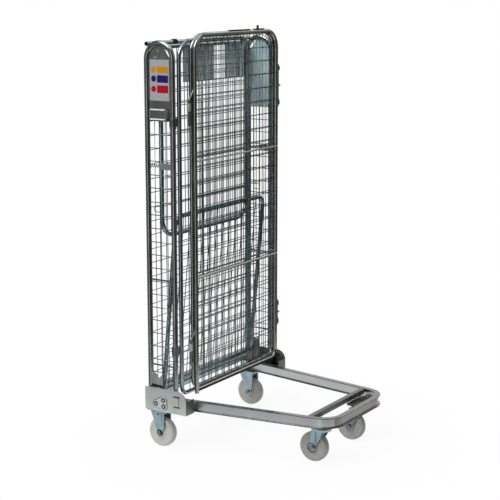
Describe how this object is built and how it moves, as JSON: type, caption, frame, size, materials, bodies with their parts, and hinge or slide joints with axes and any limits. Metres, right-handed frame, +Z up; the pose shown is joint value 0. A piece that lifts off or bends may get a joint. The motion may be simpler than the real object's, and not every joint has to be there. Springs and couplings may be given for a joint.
{
  "type": "roll container",
  "caption": "Folding roll container with a tapered nesting base, swivel and fixed castors, arched wings, and folded mesh deck, lid, side panels and gate.",
  "frame": {"origin": "on the floor under the middle of the bounding box", "axes": "+Z up, -Y towards the narrow front of the base, +X to the right seen from the front"},
  "size_m": [0.793, 0.8174, 1.73],
  "materials": {
    "rail_steel": "bright zinc plate with a faint iridescent passivation",
    "bracket_steel": "dull light zinc plate on pressed sheet",
    "fixings": "zinc-plated fasteners",
    "castor_steel": "blue-passivated zinc plate",
    "nylon": "off-white moulded nylon",
    "seal": "dark moulded seal",
    "wing_tube": "blue-grey zinc-plated tube",
    "panel_tube": "zinc-plated tube",
    "gate_tube": "zinc-plated tube with a yellowish passivation",
    "wire": "zinc-plated welded wire",
    "sheet": "bluish zinc-plated sheet",
    "card": "plain pale card",
    "hardware": "zinc-plated hinge and latch parts"
  },
  "bodies": {
    "chassis": {"base_rail": "rail_steel", "front_crossbar": "rail_steel", "rear_cross_member": "rail_steel", "castor_plate_left": "rail_steel", "castor_plate_right": "rail_steel", "corner_bracket_left": "bracket_steel", "corner_bracket_right": "bracket_steel", "bracket_pad_left": "bracket_steel", "bracket_pad_right": "bracket_steel", "bracket_bolts": "fixings", "rear_fork_left": "castor_steel", "rear_fork_right": "castor_steel", "rear_axle_left": "fixings", "rear_axle_right": "fixings", "castor_head_left": "castor_steel", "castor_head_right": "castor_steel", "castor_seal_left": "seal", "castor_seal_right": "seal", "wing_frame_left": "wing_tube", "wing_frame_right": "wing_tube", "wing_net_left": "wire", "wing_net_right": "wire", "sign_plate_left": "sheet", "sign_plate_right": "sheet", "label_card_left": "card", "label_card_right": "card", "top_cross_tube": "wing_tube", "back_net": "wire", "back_plates": "sheet", "deck_lugs": "bracket_steel"},
    "lid": {"lid_frame": "panel_tube", "lid_net": "wire", "lid_hooks": "hardware"},
    "deck": {"deck_frame": "panel_tube", "deck_net": "wire"},
    "left_side": {"left_side_frame": "panel_tube", "left_side_net": "wire", "left_side_hinges": "hardware"},
    "right_side": {"right_side_frame": "panel_tube", "right_side_net": "wire", "right_side_hinges": "hardware", "gate_hinge_eyes": "hardware", "deck_latch": "hardware"},
    "gate": {"gate_frame": "gate_tube", "gate_net": "wire", "gate_hinge_pins": "hardware", "gate_bolt_sleeves": "hardware", "gate_top_catch": "hardware"},
    "gate_bolt_lower": {"gate_bolt_lower": "hardware"},
    "gate_bolt_upper": {"gate_bolt_upper": "hardware"},
    "rear_wheel_left": {"rear_wheel_left": "nylon"},
    "front_castor_left": {"front_fork_left": "castor_steel", "front_axle_left": "fixings"},
    "front_wheel_left": {"front_wheel_left": "nylon"},
    "rear_wheel_right": {"rear_wheel_right": "nylon"},
    "front_castor_right": {"front_fork_right": "castor_steel", "front_axle_right": "fixings"},
    "front_wheel_right": {"front_wheel_right": "nylon"}
  },
  "joints": [
    {"name": "rear_wheel_left_spin", "type": "hinge", "parent": "chassis", "child": "rear_wheel_left", "pos_m": [-0.34, 0.34625, 0.0625], "axis": [1, 0, 0], "continuous": true},
    {"name": "front_castor_left_swivel", "type": "hinge", "parent": "chassis", "child": "front_castor_left", "pos_m": [-0.157, -0.31775, 0.142], "axis": [0, 0, 1], "continuous": true},
    {"name": "front_wheel_left_spin", "type": "hinge", "parent": "front_castor_left", "child": "front_wheel_left", "pos_m": [-0.157, -0.27975, 0.0625], "axis": [1, 0, 0], "continuous": true},
    {"name": "rear_wheel_right_spin", "type": "hinge", "parent": "chassis", "child": "rear_wheel_right", "pos_m": [0.34, 0.34625, 0.0625], "axis": [1, 0, 0], "continuous": true},
    {"name": "front_castor_right_swivel", "type": "hinge", "parent": "chassis", "child": "front_castor_right", "pos_m": [0.157, -0.31775, 0.142], "axis": [0, 0, 1], "continuous": true},
    {"name": "front_wheel_right_spin", "type": "hinge", "parent": "front_castor_right", "child": "front_wheel_right", "pos_m": [0.157, -0.27975, 0.0625], "axis": [1, 0, 0], "continuous": true},
    {"name": "right_side_fold", "type": "hinge", "parent": "chassis", "child": "right_side", "pos_m": [0.369, 0.25725, 0.9], "axis": [0, 0, 1], "range_deg": [0, 180]},
    {"name": "left_side_fold", "type": "hinge", "parent": "chassis", "child": "left_side", "pos_m": [-0.369, 0.25725, 0.9], "axis": [0, 0, -1], "range_deg": [0, 65]},
    {"name": "gate_swing", "type": "hinge", "parent": "right_side", "child": "gate", "pos_m": [-0.315, 0.21825, 0.9], "axis": [0, 0, -1], "range_deg": [0, 150]},
    {"name": "deck_fold", "type": "hinge", "parent": "chassis", "child": "deck", "pos_m": [0, 0.33825, 0.245], "axis": [1, 0, 0], "range_deg": [-5, 0]},
    {"name": "lid_fold", "type": "hinge", "parent": "chassis", "child": "lid", "pos_m": [0, 0.37915, 1.6689], "axis": [-1, 0, 0], "range_deg": [0, 2.2]},
    {"name": "gate_bolt_lower_slide", "type": "slide", "parent": "gate", "child": "gate_bolt_lower", "axis": [0, 0, 1], "range_m": [0, 0.025]},
    {"name": "gate_bolt_upper_slide", "type": "slide", "parent": "gate", "child": "gate_bolt_upper", "axis": [0, 0, 1], "range_m": [0, 0.04]}
  ],
  "couplings": [
    {"joint": "left_side_fold", "follows": "right_side_fold", "ratio": 0.36}
  ]
}
